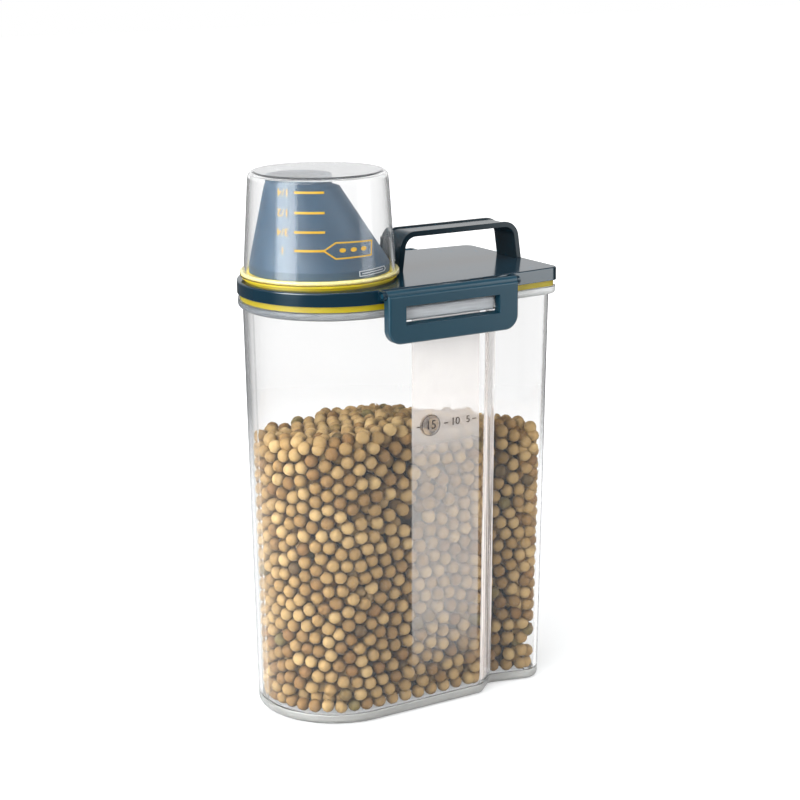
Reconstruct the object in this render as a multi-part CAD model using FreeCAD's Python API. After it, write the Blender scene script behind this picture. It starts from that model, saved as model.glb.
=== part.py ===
import FreeCAD, Part

import math
import os

from FreeCAD import Vector

# A dry pet food container: a clear drafted body with a waist to grip, a clamped lid with a
# carrying handle, and an oblique pour spout that an inverted measuring cup covers.
# Frame: origin at the bottom centre, +X to the square end under the handle, -X to the rounded
# end under the spout, -Y to the front latch, +Z up. All sizes are in millimetres.

# Lid, seen from above
LID_LENGTH = 162.0
LID_DEPTH = 96.0
LID_END_TAPER = 5.0
LID_TAPER_X = 22.0
LID_SIDE_RADIUS = 600.0
LID_CORNER = 5.5

# Lid, in section
LID_BAND = 6.9
LID_PLATE = 2.2
LID_SKIRT_WALL = 2.0
LID_EDGE_ROUND = 0.9
PLUG_WALL = 1.6
PLUG_REACH = 3.5
PLUG_FIT = 0.4

# Clear body, in plan: how its top stands inside the rim, and the waist at either side
RIM_INSET = 0.3
RIM_LEDGE = 2.35
END_LEDGE = 2.35
END_NARROWING = 1.3
END_CORNER = 9.0
END_TOP_LEDGE = 1.85
END_TOP_NARROWING = 0.4
END_TOP_CORNER = 7.5
WAIST_X = 33.0
WAIST_RUN = 10.5
WAIST_DEPTH = 9.3
WAIST_EDGE_ROUND = 4.0
WAIST_ROOT_ROUND = 5.0
LEAST_ROUND = 0.4

# Clear body, in section
BODY_HEIGHT = 219.7
BODY_DRAFT = 2.85
BODY_WALL = 1.8
FLOOR = 4.2
FLOOR_ROUND = 2.2
FOOT_ROUND = 3.0
FOOT_WIDTH = 7.0
FOOT_RECESS = 1.2
RIM_HEIGHT = 4.4
RIM_ROUND = 2.2

# Gasket between rim and lid
GASKET_HEIGHT = 3.1
GASKET_INSET = 1.5
GASKET_STEM = 2.6
GASKET_FIT = 0.3

# Measuring cup, upside down over the spout
CUP_HEIGHT = 52.8
CUP_TOP_RADIUS = 35.5
CUP_MOUTH_RADIUS = 39.0
CUP_WALL = 1.3
CUP_BASE_WALL = 1.5
CUP_CORNER = 3.4
CUP_RIM_LIP = 1.8
CUP_RIM_HEIGHT = 2.4
CUP_RIM_ROUND = 0.8
CUP_END_GAP = 1.0
CUP_SEAL_HEIGHT = 2.5
CUP_SEAL_INSET = 0.9
CUP_SEAL_FLANGE = 1.1
CUP_SEAL_UNDERCUT = 1.6
CUP_SEAL_LIP = 1.7
CUP_SEAL_FIT = 0.15

# Spout
SPOUT_FOOT_HEIGHT = 8.3
SPOUT_SHOULDER_RADIUS = 19.1
SPOUT_SHOULDER_SHIFT = -9.4
SPOUT_SHOULDER_DROP = 5.0
SPOUT_MOUTH_RADIUS = 16.7
SPOUT_MOUTH_SHIFT = -11.0
SPOUT_LIP = 2.1
SPOUT_WALL = 1.6
SPOUT_LEDGE = 4.7
SPOUT_COLLAR_WALL = 1.6
SPOUT_SNAP = 0.6
SPOUT_SNAP_HEIGHT = 1.4
SPOUT_FIT = 0.15
SPOUT_CLEARANCE = 1.4
SPOUT_HEADROOM = 1.2

# Carrying handle
HANDLE_GAP = 0.6
HANDLE_END_GAP = 1.5
HANDLE_LEAN = 2.8
HANDLE_RISE = 20.3
HANDLE_BAND = 19.0
HANDLE_THICK = 2.8
HANDLE_CORNER = 9.0
HANDLE_BEAD = 1.7
HANDLE_GROOVE = 0.6
HANDLE_SEAT = 1.3
HANDLE_FIT = 0.1

# Catch rib on the body's rim, seen through the latch window
WINDOW_X = 7.0
CATCH_LENGTH = 54.9
CATCH_HEIGHT = 7.3
CATCH_RISE = 1.2
CATCH_SETBACK = 2.8
CATCH_ROUND = 1.4

# Latches
LATCH_X = 7.8
LATCH_WIDTH = 77.4
LATCH_STANDOFF = 2.0
LATCH_DEPTH = 5.0
LATCH_FACE = 2.2
LATCH_SIDE_WALL = 1.8
LATCH_SKIRT = 9.3
LATCH_CORNER = 7.5
LATCH_EDGE_ROUND = 1.2
WINDOW_SIDE_FIT = 0.6
WINDOW_TOP_FIT = 0.6
WINDOW_LOWER_GAP = 1.0
WINDOW_BEVEL = 0.8
WINDOW_WALL = 1.5

# Latch hinge
HINGE_BACKSET = 3.6
HINGE_DROP = 0.1
HINGE_ROLL_RADIUS = 2.4
HINGE_PIN_RADIUS = 1.25
HINGE_PIN_FIT = 0.1
LUG_WIDTH = 1.7
LUG_SIDE_FIT = 0.25

# Levels, from the ground up
RIM_BOTTOM = BODY_HEIGHT - RIM_HEIGHT
BAND_BOTTOM = BODY_HEIGHT + GASKET_HEIGHT
LID_TOP = BAND_BOTTOM + LID_BAND
PLATE_BOTTOM = LID_TOP - LID_PLATE
PLUG_BOTTOM = BODY_HEIGHT - PLUG_REACH
CUP_SEAT = LID_TOP + CUP_SEAL_HEIGHT
CUP_TOP = CUP_SEAT + CUP_HEIGHT
CUP_CEILING = CUP_TOP - CUP_BASE_WALL
SPOUT_TOP = CUP_CEILING - SPOUT_HEADROOM
SPOUT_SHOULDER = SPOUT_TOP - SPOUT_SHOULDER_DROP
SPOUT_FOOT_TOP = LID_TOP + SPOUT_FOOT_HEIGHT
CATCH_TOP = BODY_HEIGHT + CATCH_RISE
CATCH_BOTTOM = CATCH_TOP - CATCH_HEIGHT
WINDOW_TOP = CATCH_TOP + WINDOW_TOP_FIT
WINDOW_BACK_EDGE = CATCH_BOTTOM - WINDOW_LOWER_GAP
WINDOW_BOTTOM = WINDOW_BACK_EDGE - WINDOW_BEVEL
LATCH_BOTTOM = WINDOW_BOTTOM - LATCH_SKIRT
HINGE_Z = LID_TOP - HINGE_DROP - HINGE_ROLL_RADIUS

# Places in plan
LID_END_DEPTH = LID_DEPTH - 2 * LID_END_TAPER
LOBE_X = -LID_LENGTH / 2 + LID_DEPTH / 2
BASE_HALF = LID_DEPTH / 2 - RIM_INSET - RIM_LEDGE - BODY_DRAFT
BASE_LEFT = LOBE_X - BASE_HALF
BASE_RIGHT = LID_LENGTH / 2 - RIM_INSET - END_LEDGE - BODY_DRAFT
CUP_RIM_RADIUS = CUP_MOUTH_RADIUS + CUP_RIM_LIP
CUP_X = -LID_LENGTH / 2 + CUP_END_GAP + CUP_RIM_RADIUS
CUP_SLOPE = (CUP_MOUTH_RADIUS - CUP_TOP_RADIUS) / CUP_HEIGHT
CUP_BORE_AT_FOOT = CUP_MOUTH_RADIUS - CUP_WALL - CUP_SLOPE * (SPOUT_FOOT_TOP - CUP_SEAT)
SPOUT_FOOT_RADIUS = CUP_BORE_AT_FOOT - SPOUT_CLEARANCE
SPOUT_COLLAR_RADIUS = SPOUT_FOOT_RADIUS - SPOUT_LEDGE
HANDLE_LEFT = CUP_X + CUP_RIM_RADIUS + HANDLE_GAP
HANDLE_RIGHT = LID_LENGTH / 2 - HANDLE_END_GAP
LATCH_BACK = -LID_DEPTH / 2 - LATCH_STANDOFF
LATCH_FRONT = LATCH_BACK - LATCH_DEPTH
HINGE_Y = LATCH_FRONT + HINGE_BACKSET
LUG_REACH = LATCH_WIDTH / 2 + LUG_SIDE_FIT + LUG_WIDTH / 2
LUG_XS = (LATCH_X - LUG_REACH, LATCH_X + LUG_REACH)
WINDOW_WIDTH = CATCH_LENGTH + 2 * WINDOW_SIDE_FIT
TOUCH = 0.001


def both_sides(front):
    """The corners of a plan that is the same at the front and at the back."""
    return front + [(x, -y, r) for x, y, r in reversed(front)]


BODY_PLAN = both_sides([
    (BASE_LEFT, -BASE_HALF, BASE_HALF),
    (WAIST_X, -BASE_HALF, WAIST_EDGE_ROUND),
    (WAIST_X + WAIST_RUN, -BASE_HALF + WAIST_DEPTH, WAIST_ROOT_ROUND),
    (BASE_RIGHT, -LID_END_DEPTH / 2 + END_NARROWING, END_CORNER),
])

BODY_TOP_END = (LID_LENGTH / 2 - RIM_INSET - END_TOP_LEDGE, -LID_END_DEPTH / 2 + END_TOP_NARROWING,
                END_TOP_CORNER)

LID_PLAN = both_sides([
    (-LID_LENGTH / 2, -LID_DEPTH / 2, LID_DEPTH / 2),
    (LID_TAPER_X, -LID_DEPTH / 2, LID_SIDE_RADIUS),
    (LID_LENGTH / 2, -LID_END_DEPTH / 2, LID_CORNER),
])


def unit(a, b):
    """The direction from plan point a to plan point b."""
    dx, dy = b[0] - a[0], b[1] - a[1]
    length = math.hypot(dx, dy)
    return dx / length, dy / length


def offset_plan(plan, off):
    """The plan moved outward by off, with every rounded corner about its old centre."""
    count = len(plan)
    moved = []
    for i, (x, y, r) in enumerate(plan):
        ax, ay = unit(plan[i - 1], plan[i])
        bx, by = unit(plan[i], plan[(i + 1) % count])
        turn = ax * by - ay * bx
        # both sides move along their outward normals, and meet in the moved corner
        k = off * (1 - ax * bx - ay * by) / turn
        nx, ny = ay * off + ax * k, -ax * off + ay * k
        moved.append((x + nx, y + ny, max(r + off if turn > 0 else r - off, LEAST_ROUND)))
    return moved


def plan_wire(plan, z):
    """A closed wire at height z through the plan, each corner a tangent arc."""
    count = len(plan)
    arcs = []
    for i, (x, y, r) in enumerate(plan):
        ax, ay = unit(plan[i - 1], plan[i])
        bx, by = unit(plan[i], plan[(i + 1) % count])
        turn = math.atan2(ax * by - ay * bx, ax * bx + ay * by)
        reach = r * math.tan(abs(turn) / 2)
        inward = r * (1 / math.cos(turn / 2) - 1)
        mx, my = bx - ax, by - ay
        scale = inward / math.hypot(mx, my)
        arcs.append((
            Vector(x - ax * reach, y - ay * reach, z),
            Vector(x + mx * scale, y + my * scale, z),
            Vector(x + bx * reach, y + by * reach, z),
        ))
    edges = []
    for i, (start, middle, end) in enumerate(arcs):
        edges.append(Part.Arc(start, middle, end).toShape())
        following = arcs[(i + 1) % count][0]
        if (following - end).Length > TOUCH:
            edges.append(Part.LineSegment(end, following).toShape())
    return Part.Wire(edges)


def prism(plan, low, high):
    """The plan as a straight solid from height low to height high."""
    return Part.Face(plan_wire(plan, low)).extrude(Vector(0, 0, high - low))


def body_plan(z, inset):
    """The drafted body's plan at height z, drawn inward by inset: it widens towards the top."""
    top = offset_plan(BODY_PLAN, BODY_DRAFT)
    top = both_sides(top[:len(top) // 2 - 1] + [BODY_TOP_END])
    share = z / BODY_HEIGHT
    plan = [tuple(a + (b - a) * share for a, b in zip(low, high)) for low, high in zip(BODY_PLAN, top)]
    return offset_plan(plan, -inset)


def drafted(inset, low, high):
    """The body's drafted form, inset from its outer face, from height low to height high."""
    return Part.makeLoft([plan_wire(body_plan(z, inset), z) for z in (low, high)], True, True)


def box(x0, x1, y0, y1, z0, z1):
    """A block between two opposite corners."""
    return Part.makeBox(x1 - x0, y1 - y0, z1 - z0, Vector(x0, y0, z0))


def edges_at(shape, z):
    """The edges that lie in the level plane z."""
    return [e for e in shape.Edges
            if abs(e.BoundBox.ZMin - z) < TOUCH and abs(e.BoundBox.ZMax - z) < TOUCH]


def disc(x, z, radius):
    """A level circle about the line x on the middle plane."""
    return Part.Wire(Part.Circle(Vector(x, 0, z), Vector(0, 0, 1), radius).toShape())


def tube(x, low, high, outer, inner):
    """An upright ring about the line x on the middle plane."""
    at = Vector(x, 0, low)
    return Part.makeCylinder(outer, high - low, at).cut(Part.makeCylinder(inner, high - low, at))


def to_back(shape):
    """The same piece on the back of the container."""
    return shape.mirror(Vector(0, 0, 0), Vector(0, 1, 0))


def profile(points, x0, x1):
    """A closed (y, z) outline pushed along X from x0 to x1."""
    corners = [Vector(x0, y, z) for y, z in points]
    wire = Part.makePolygon(corners + [corners[0]])
    return Part.Face(wire).extrude(Vector(x1 - x0, 0, 0))


def rod(x0, x1, y, z, radius):
    """A round bar along X."""
    return Part.makeCylinder(radius, x1 - x0, Vector(x0, y, z), Vector(1, 0, 0))


def make_body():
    """The clear body: drafted shell, waist, foot ring, rolled rim and two catch ribs."""
    shell = drafted(0, 0, BODY_HEIGHT)
    shell = shell.makeFillet(FOOT_ROUND, edges_at(shell, 0))
    rim = prism(offset_plan(LID_PLAN, -RIM_INSET), RIM_BOTTOM, BODY_HEIGHT)
    rim = rim.makeFillet(RIM_ROUND, edges_at(rim, RIM_BOTTOM))
    rib = catch_rib()
    cavity = drafted(BODY_WALL, FLOOR, BODY_HEIGHT + 1)
    cavity = cavity.makeFillet(FLOOR_ROUND, edges_at(cavity, FLOOR))
    foot = prism(offset_plan(BODY_PLAN, -FOOT_WIDTH), -1, FOOT_RECESS)
    return shell.fuse([rim, rib, to_back(rib)]).cut([cavity, foot]).removeSplitter()


def catch_rib():
    """The rounded bar on the rim's front edge that the latch window closes over."""
    tip = LATCH_FRONT + CATCH_SETBACK
    back = -LID_DEPTH / 2 + GASKET_INSET - GASKET_FIT
    root = -LID_DEPTH / 2 + RIM_INSET + RIM_LEDGE + BODY_WALL / 2
    half = CATCH_LENGTH / 2
    bar = profile([(tip, CATCH_BOTTOM), (root, CATCH_BOTTOM), (root, BODY_HEIGHT),
                   (back, BODY_HEIGHT), (back, CATCH_TOP), (tip, CATCH_TOP)],
                  WINDOW_X - half, WINDOW_X + half)
    outer = [e for e in bar.Edges if abs(e.BoundBox.YMax - tip) < TOUCH]
    return bar.makeFillet(CATCH_ROUND, outer)


def make_lid():
    """The lid: plate, skirt and plug wall, with the spout hole, handle sockets and hinge lugs."""
    block = prism(LID_PLAN, BAND_BOTTOM, LID_TOP)
    block = block.makeFillet(LID_EDGE_ROUND, edges_at(block, LID_TOP))
    inside = prism(offset_plan(LID_PLAN, -LID_SKIRT_WALL), BAND_BOTTOM, PLATE_BOTTOM)
    outer, inner = plug_plans()
    plug = prism(outer, PLUG_BOTTOM, PLATE_BOTTOM).cut(prism(inner, PLUG_BOTTOM, PLATE_BOTTOM))
    lugs = [hinge_lug(x) for x in LUG_XS]
    lid = block.fuse(lugs + [to_back(lug) for lug in lugs]).cut(inside).fuse(plug)
    hole = Part.makeCylinder(SPOUT_COLLAR_RADIUS + SPOUT_FIT, 2 * LID_BAND,
                             Vector(CUP_X, 0, BAND_BOTTOM))
    return lid.cut([hole] + handle_tabs(HANDLE_FIT)).removeSplitter()


def plug_plans():
    """The outer and inner plans of the wall that plugs into the body's mouth."""
    inset = BODY_WALL + PLUG_FIT
    return body_plan(PLUG_BOTTOM, inset), body_plan(PLUG_BOTTOM, inset + PLUG_WALL)


def hinge_lug(x):
    """One ear on the lid's band, beside the latch, with the eye that its pin turns in."""
    low, high = x - LUG_WIDTH / 2, x + LUG_WIDTH / 2
    eye = rod(low, high, HINGE_Y, HINGE_Z, HINGE_ROLL_RADIUS)
    arm = box(low, high, HINGE_Y, -LID_END_DEPTH / 2,
              HINGE_Z - HINGE_ROLL_RADIUS, HINGE_Z + HINGE_ROLL_RADIUS)
    bore = rod(low - 1, high + 1, HINGE_Y, HINGE_Z, HINGE_PIN_RADIUS + HINGE_PIN_FIT)
    return eye.fuse(arm).removeSplitter().cut(bore)


def make_gasket():
    """The soft gasket: a stem in the lid's channel and a flange on the body's rim."""
    plug = plug_plans()[0]
    flange = prism(offset_plan(LID_PLAN, -GASKET_INSET), BODY_HEIGHT, BAND_BOTTOM)
    stem = prism(offset_plan(plug, GASKET_STEM), BAND_BOTTOM, PLATE_BOTTOM)
    channel = prism(offset_plan(LID_PLAN, -LID_SKIRT_WALL - GASKET_FIT), BAND_BOTTOM, PLATE_BOTTOM)
    core = prism(plug, BODY_HEIGHT, PLATE_BOTTOM)
    return flange.fuse(stem.common(channel)).cut(core).removeSplitter()


def spout_sections(inset):
    """Level circles of the oblique spout, from its foot to its lip, inset by a wall."""
    levels = [
        (0, LID_TOP, SPOUT_FOOT_RADIUS),
        (0, SPOUT_FOOT_TOP, SPOUT_FOOT_RADIUS),
        (SPOUT_SHOULDER_SHIFT, SPOUT_SHOULDER, SPOUT_SHOULDER_RADIUS),
        (SPOUT_MOUTH_SHIFT, SPOUT_TOP - SPOUT_LIP, SPOUT_MOUTH_RADIUS),
        (SPOUT_MOUTH_SHIFT, SPOUT_TOP, SPOUT_MOUTH_RADIUS),
    ]
    return [disc(CUP_X + shift, z, radius - inset) for shift, z, radius in levels]


def make_spout():
    """The oblique spout with its collar, which snaps under the edge of the lid's hole."""
    snap_low = PLATE_BOTTOM - SPOUT_SNAP_HEIGHT
    foot = Vector(CUP_X, 0, snap_low)
    collar = Part.makeCylinder(SPOUT_COLLAR_RADIUS, LID_TOP - snap_low, foot)
    snap = Part.makeCone(SPOUT_COLLAR_RADIUS, SPOUT_COLLAR_RADIUS + SPOUT_SNAP,
                         SPOUT_SNAP_HEIGHT, foot)
    throat_radius = SPOUT_COLLAR_RADIUS - SPOUT_COLLAR_WALL
    throat = Part.makeLoft([disc(CUP_X, LID_TOP, throat_radius)] + spout_sections(SPOUT_WALL)[1:],
                           True, True)
    inlet = Part.makeCylinder(throat_radius, LID_TOP - snap_low, foot)
    spout = Part.makeLoft(spout_sections(0), True, True)
    return spout.fuse([collar, snap]).cut([throat, inlet]).removeSplitter()


def make_cup_seal():
    """The soft ring round the spout's foot: a flange under the cup's rim, and a lip inside it."""
    outer = CUP_RIM_RADIUS - CUP_SEAL_INSET
    ring = tube(CUP_X, LID_TOP, CUP_SEAT, outer - CUP_SEAL_UNDERCUT, SPOUT_FOOT_RADIUS)
    flange = tube(CUP_X, CUP_SEAT - CUP_SEAL_FLANGE, CUP_SEAT, outer, SPOUT_FOOT_RADIUS)
    bore = CUP_MOUTH_RADIUS - CUP_WALL - CUP_SLOPE * CUP_SEAL_LIP
    lip = tube(CUP_X, LID_TOP, CUP_SEAT + CUP_SEAL_LIP, bore - CUP_SEAL_FIT, SPOUT_FOOT_RADIUS)
    return ring.fuse([flange, lip]).removeSplitter()


def make_cup():
    """The clear measuring cup, upside down, with a rolled rim at its mouth."""
    seat = Vector(CUP_X, 0, CUP_SEAT)
    cone = Part.makeCone(CUP_MOUTH_RADIUS, CUP_TOP_RADIUS, CUP_HEIGHT, seat)
    cone = cone.makeFillet(CUP_CORNER, edges_at(cone, CUP_TOP))
    rim = Part.makeCylinder(CUP_RIM_RADIUS, CUP_RIM_HEIGHT, seat)
    rim = rim.makeFillet(CUP_RIM_ROUND, edges_at(rim, CUP_SEAT + CUP_RIM_HEIGHT))
    ceiling_radius = CUP_MOUTH_RADIUS - CUP_WALL - CUP_SLOPE * (CUP_CEILING - CUP_SEAT)
    hollow = Part.makeCone(CUP_MOUTH_RADIUS - CUP_WALL, ceiling_radius, CUP_CEILING - CUP_SEAT, seat)
    hollow = hollow.makeFillet(CUP_CORNER - CUP_WALL, edges_at(hollow, CUP_CEILING))
    return cone.fuse(rim).cut(hollow).removeSplitter()


def arch_points(inset):
    """The corners of the handle's arch in the middle plane, drawn inward by inset."""
    lean = HANDLE_LEAN / HANDLE_RISE
    top = LID_TOP + HANDLE_RISE - inset
    shift = lean * (top - LID_TOP)
    return [Vector(HANDLE_LEFT + inset, 0, LID_TOP), Vector(HANDLE_LEFT + inset + shift, 0, top),
            Vector(HANDLE_RIGHT - inset - shift, 0, top), Vector(HANDLE_RIGHT - inset, 0, LID_TOP)]


def arch_slab(inset, width):
    """The arch filled in as a slab of the given width across the middle plane."""
    points = arch_points(inset)
    radius = HANDLE_CORNER - inset
    edges = []
    last = points[0]
    for i in (1, 2):
        before = (points[i - 1] - points[i]).normalize()
        after = (points[i + 1] - points[i]).normalize()
        half = before.getAngle(after) / 2
        start = points[i] + before * (radius / math.tan(half))
        end = points[i] + after * (radius / math.tan(half))
        middle = points[i] + (before + after).normalize() * (radius / math.sin(half) - radius)
        edges.append(Part.LineSegment(last, start).toShape())
        edges.append(Part.Arc(start, middle, end).toShape())
        last = end
    edges.append(Part.LineSegment(last, points[3]).toShape())
    edges.append(Part.LineSegment(points[3], points[0]).toShape())
    face = Part.Face(Part.Wire(edges))
    face.translate(Vector(0, -width / 2, 0))
    return face.extrude(Vector(0, width, 0))


def handle_tabs(fit):
    """The two feet below the lid's top, grown by a fit for their sockets."""
    low = LID_TOP - HANDLE_SEAT
    half = HANDLE_BAND / 2 - HANDLE_BEAD + fit
    feet = ((HANDLE_LEFT, HANDLE_LEFT + HANDLE_THICK), (HANDLE_RIGHT - HANDLE_THICK, HANDLE_RIGHT))
    return [box(x0 - fit, x1 + fit, -half, half, low, LID_TOP) for x0, x1 in feet]


def make_handle():
    """The carrying handle: a band bent over the lid, grooved outside, with its feet in sockets."""
    band = arch_slab(0, HANDLE_BAND)
    skin = band.cut(arch_slab(HANDLE_GROOVE, 2 * HANDLE_BAND))
    half = HANDLE_BAND / 2 - HANDLE_BEAD
    between = box(HANDLE_LEFT - 1, HANDLE_RIGHT + 1, -half, half,
                  LID_TOP + HANDLE_THICK, LID_TOP + HANDLE_RISE + 1)
    band = band.cut([arch_slab(HANDLE_THICK, 2 * HANDLE_BAND), skin.common(between)])
    return band.fuse(handle_tabs(0)).removeSplitter()


def latch_plate(inset, y0, y1):
    """The latch's face outline, drawn inward by inset, as a slab between two depths."""
    half = LATCH_WIDTH / 2 - inset
    low = LATCH_BOTTOM + inset
    slab = box(LATCH_X - half, LATCH_X + half, y0, y1, low, HINGE_Z - inset)
    lower = [e for e in slab.Edges
             if e.BoundBox.YLength > TOUCH and abs(e.BoundBox.ZMax - low) < TOUCH]
    return slab.makeFillet(LATCH_CORNER - inset, lower)


def window_block(grow, y0, y1):
    """The latch window, grown by a wall, with its lower side rising towards the back."""
    slope = WINDOW_BEVEL / LATCH_DEPTH
    low0 = WINDOW_BOTTOM + slope * (y0 - LATCH_FRONT) - grow
    low1 = WINDOW_BOTTOM + slope * (y1 - LATCH_FRONT) - grow
    half = WINDOW_WIDTH / 2 + grow
    return profile([(y0, low0), (y1, low1), (y1, WINDOW_TOP + grow), (y0, WINDOW_TOP + grow)],
                   WINDOW_X - half, WINDOW_X + half)


def make_latch():
    """The front latch: a dished plate with a framed window, hung on a roll with a pin at each end."""
    plate = latch_plate(0, LATCH_FRONT, LATCH_BACK)
    face = [e for e in plate.Edges if abs(e.BoundBox.YMax - LATCH_FRONT) < TOUCH]
    plate = plate.makeFillet(LATCH_EDGE_ROUND, face)
    dish = latch_plate(LATCH_SIDE_WALL, LATCH_FRONT + LATCH_FACE, LATCH_BACK)
    frame = window_block(WINDOW_WALL, LATCH_FRONT + LATCH_FACE, LATCH_BACK)
    window = window_block(0, LATCH_FRONT - 1, LATCH_BACK + 1)
    left, right = LATCH_X - LATCH_WIDTH / 2, LATCH_X + LATCH_WIDTH / 2
    roll = rod(left, right, HINGE_Y, HINGE_Z, HINGE_ROLL_RADIUS)
    reach = LUG_SIDE_FIT + LUG_WIDTH
    pins = rod(left - reach, right + reach, HINGE_Y, HINGE_Z, HINGE_PIN_RADIUS)
    return plate.cut(dish.cut(frame)).cut(window).fuse([roll, pins]).removeSplitter()


def export(name, shape):
    """Write one sub-part as a STEP file, with a line on its solids and volume."""
    shape.exportStep(os.path.join("parts", name + ".step"))
    print(name, len(shape.Solids), shape.isValid(), round(shape.Volume / 1000, 2), "cm3")


os.makedirs("parts", exist_ok=True)
front_latch = make_latch()
export("container_body", make_body())
export("lid", make_lid())
export("lid_gasket", make_gasket())
export("pour_spout", make_spout())
export("cup_seal_ring", make_cup_seal())
export("measuring_cup", make_cup())
export("carry_handle", make_handle())
export("front_latch", front_latch)
export("back_latch", to_back(front_latch))
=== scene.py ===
# %% [markdown]
# A tall clear food container, clamped shut by two latches, with a pour spout under an upturned
# measuring cup. The moving pieces come from a CAD model, which this notebook loads as a fixed frame
# and never moves. What Blender adds is how it looks: clear and coloured plastic, soft seals, the
# printed and raised marks, and the dry food that shows through the walls. Lengths are in metres.

import math

import bpy
import numpy as np
from mathutils import Matrix, Vector


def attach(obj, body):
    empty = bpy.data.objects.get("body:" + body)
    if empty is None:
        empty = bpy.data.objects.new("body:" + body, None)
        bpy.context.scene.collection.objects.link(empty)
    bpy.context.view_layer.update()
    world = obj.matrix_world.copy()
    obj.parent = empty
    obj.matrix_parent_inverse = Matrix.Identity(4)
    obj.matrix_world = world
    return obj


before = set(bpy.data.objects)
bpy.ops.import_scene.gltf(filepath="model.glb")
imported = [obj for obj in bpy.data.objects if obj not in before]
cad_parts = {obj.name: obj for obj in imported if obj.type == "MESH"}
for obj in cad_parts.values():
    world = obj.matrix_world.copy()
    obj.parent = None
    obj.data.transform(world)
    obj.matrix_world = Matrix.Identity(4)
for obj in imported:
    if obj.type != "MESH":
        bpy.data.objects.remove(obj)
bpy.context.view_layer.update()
MM = 0.001
print("nodes:", sorted(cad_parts))

# %% [markdown]
# A camera is a place, a heading, a dip and a focal length. Setting it first lets every later look be
# judged in the picture that counts. The view is from the front left and a little above, with a long
# lens, so upright edges stay nearly parallel. Building the matrix from the view direction is clearer
# than three Euler angles, because each column is one axis of the camera.

# %% Camera
IMAGE_WIDTH = 800
SENSOR_WIDTH = 36
FOCAL_PIXELS = 1928.2
CAMERA_PLACE = Vector((-0.51035, -0.85219, 0.40701))
HEADING = math.radians(31.32)
DIP = math.radians(13.99)
ROLL = math.radians(-0.53)


def new_object(name, data):
    """An object for some data, linked to the scene."""
    made = bpy.data.objects.new(name, data)
    bpy.context.scene.collection.objects.link(made)
    return made


def make_camera():
    """A camera that looks along HEADING, which turns from +Y towards +X, and down by DIP."""
    view = Vector((math.sin(HEADING) * math.cos(DIP), math.cos(HEADING) * math.cos(DIP), -math.sin(DIP)))
    level = Vector((math.cos(HEADING), -math.sin(HEADING), 0))
    upright = level.cross(view)
    right = level * math.cos(ROLL) + upright * math.sin(ROLL)
    up = upright * math.cos(ROLL) - level * math.sin(ROLL)
    data = bpy.data.cameras.new("camera")
    data.sensor_width = SENSOR_WIDTH
    data.sensor_fit = "HORIZONTAL"
    data.lens = FOCAL_PIXELS / IMAGE_WIDTH * SENSOR_WIDTH
    camera = new_object("camera", data)
    turn = Matrix((right, up, -view)).transposed().to_4x4()
    camera.matrix_world = Matrix.Translation(CAMERA_PLACE) @ turn
    return camera


bpy.context.scene.camera = make_camera()
bpy.context.scene.view_settings.view_transform = "Standard"
print("lens", round(bpy.context.scene.camera.data.lens, 2), "mm")

# %% [markdown]
# Materials are node trees. A few helpers keep each one short: one adds a node and fills its
# sockets, with a link where the value is another node's output and a plain number where it isn't.
# Others add noise that reads Object coordinates, so the grain stays put on the piece whatever the
# camera does.

# %% Node helpers
WHITE = (1, 1, 1, 1)


def socket_of(sockets, label):
    """The enabled one of the sockets that share a name."""
    return next(s for s in sockets if s.name == label and s.enabled)


def wire(node, *places, **names):
    """Fill sockets by position or by name, with underscores for the spaces."""
    chosen = list(zip(node.inputs, places))
    chosen += [(socket_of(node.inputs, key.replace("_", " ")), value) for key, value in names.items()]
    for socket, value in chosen:
        if isinstance(value, bpy.types.NodeSocket):
            node.id_data.links.new(value, socket)
        else:
            socket.default_value = value


def add_node(tree, kind, *places, how=None, **names):
    """A new node, first set up by how, then with its sockets filled."""
    node = tree.nodes.new(kind)
    for key, value in (how or {}).items():
        setattr(node, key, value)
    wire(node, *places, **names)
    return node


def output_of(*node, **names):
    """The first enabled output of a new node, which is made as add_node makes it."""
    return next(s for s in add_node(*node, **names).outputs if s.enabled)


def new_material(name):
    """A material with only a Principled shader and its output, and its node tree."""
    material = bpy.data.materials.new(name)
    material.use_nodes = True
    tree = material.node_tree
    return material, tree, tree.nodes["Principled BSDF"]


def srgb(red, green, blue):
    """A colour given as it shows on screen, 0 to 255, as the linear values that shaders take."""
    def linear(c):
        c /= 255
        return c / 12.92 if c <= 0.04045 else ((c + 0.055) / 1.055) ** 2.4
    return (linear(red), linear(green), linear(blue), 1.0)


def object_place(tree):
    """Object coordinates."""
    return tree.nodes.new("ShaderNodeTexCoord").outputs["Object"]


def object_axes(tree):
    """The x, y and z outputs of Object coordinates."""
    return add_node(tree, "ShaderNodeSeparateXYZ", object_place(tree)).outputs


def object_noise(tree, scale, detail=3.0, stretch=(1, 1, 1)):
    """A noise on Object coordinates, stretched along each axis."""
    place = output_of(tree, "ShaderNodeMapping", Vector=object_place(tree), Scale=[1 / s for s in stretch])
    return output_of(tree, "ShaderNodeTexNoise", Vector=place, Scale=scale, Detail=detail, Roughness=0.55)


def map_to(tree, value, low, high, start=0.0, stop=1.0, smooth=False):
    """A value between start and stop turned into one between low and high."""
    curve = {"interpolation_type": "SMOOTHSTEP" if smooth else "LINEAR"}
    return output_of(tree, "ShaderNodeMapRange", how=curve,
                     Value=value, From_Min=start, From_Max=stop, To_Min=low, To_Max=high)


def combine(tree, operation, first, second):
    """Two values through one Math node; the second may be a plain number."""
    return output_of(tree, "ShaderNodeMath", first, second, how={"operation": operation})


def product(tree, value, *others):
    """Several values multiplied."""
    for other in others:
        value = combine(tree, "MULTIPLY", value, other)
    return value


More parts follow.
